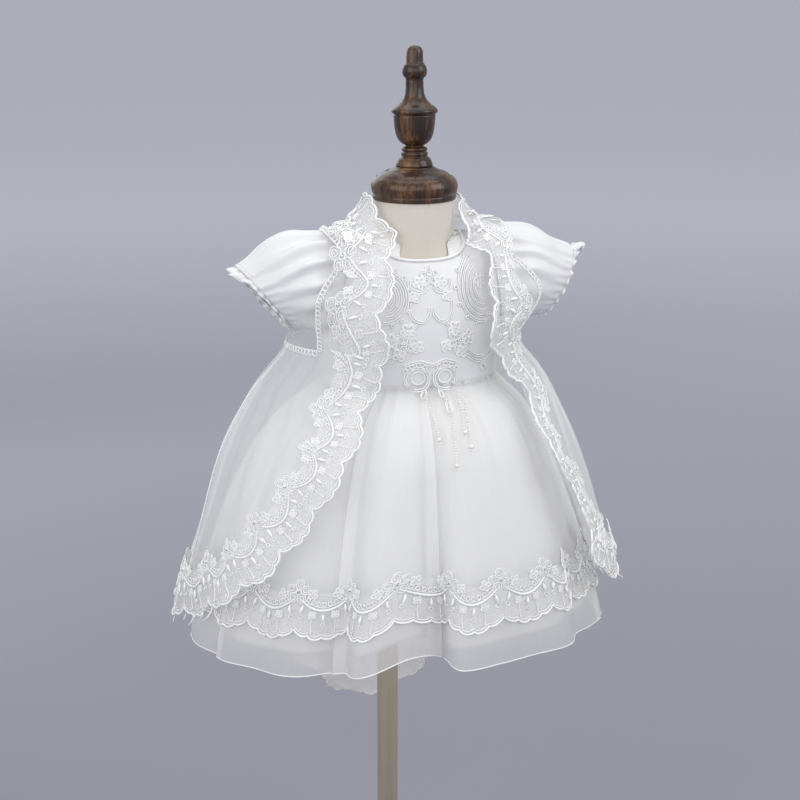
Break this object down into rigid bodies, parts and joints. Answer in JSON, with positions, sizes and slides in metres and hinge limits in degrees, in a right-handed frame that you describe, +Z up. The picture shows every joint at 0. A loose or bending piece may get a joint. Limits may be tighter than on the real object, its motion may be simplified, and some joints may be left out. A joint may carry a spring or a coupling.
{
  "type": "christening gown on dress form",
  "caption": "Baby's white satin and organza christening gown with puff sleeves, corded lace and a lace-edged organza cape, on a limbless child dress form with a turned wooden finial",
  "frame": {"origin": "middle of the underside of the round base, on the floor", "axes": "+Z up; the front of the gown faces -Y; the wearer's left is +X"},
  "size_m": [0.4584, 0.3636, 0.9805],
  "materials": {
    "satin": "white duchess satin with a soft sheen",
    "lining_satin": "white taffeta, low sheen",
    "organza": "sheer white organza",
    "lace": "white corded lace on net with pearls and small stones",
    "form_linen": "unbleached linen cover",
    "walnut": "dark stained, glossy lacquer",
    "stand_metal": "satin nickel"
  },
  "bodies": {
    "root": {"base": "stand_metal", "pole": "stand_metal", "form": "form_linen", "neck_cap": "walnut", "finial": "walnut", "bodice_front": "satin", "bodice_back_left": "satin", "bodice_back_right": "satin", "neck_binding": "satin", "sleeve_left": "satin", "sleeve_right": "satin", "cuff_frill_left": "satin", "cuff_frill_right": "satin", "underskirt": "lining_satin", "overskirt": "organza", "skirt_lace_band": "lace", "cape_front_left": "organza", "cape_front_right": "organza", "cape_back": "organza", "cape_lace_left": "lace", "cape_lace_right": "lace", "cape_lace_back": "lace", "bodice_lace": "lace", "waist_lace": "lace"}
  },
  "joints": []
}
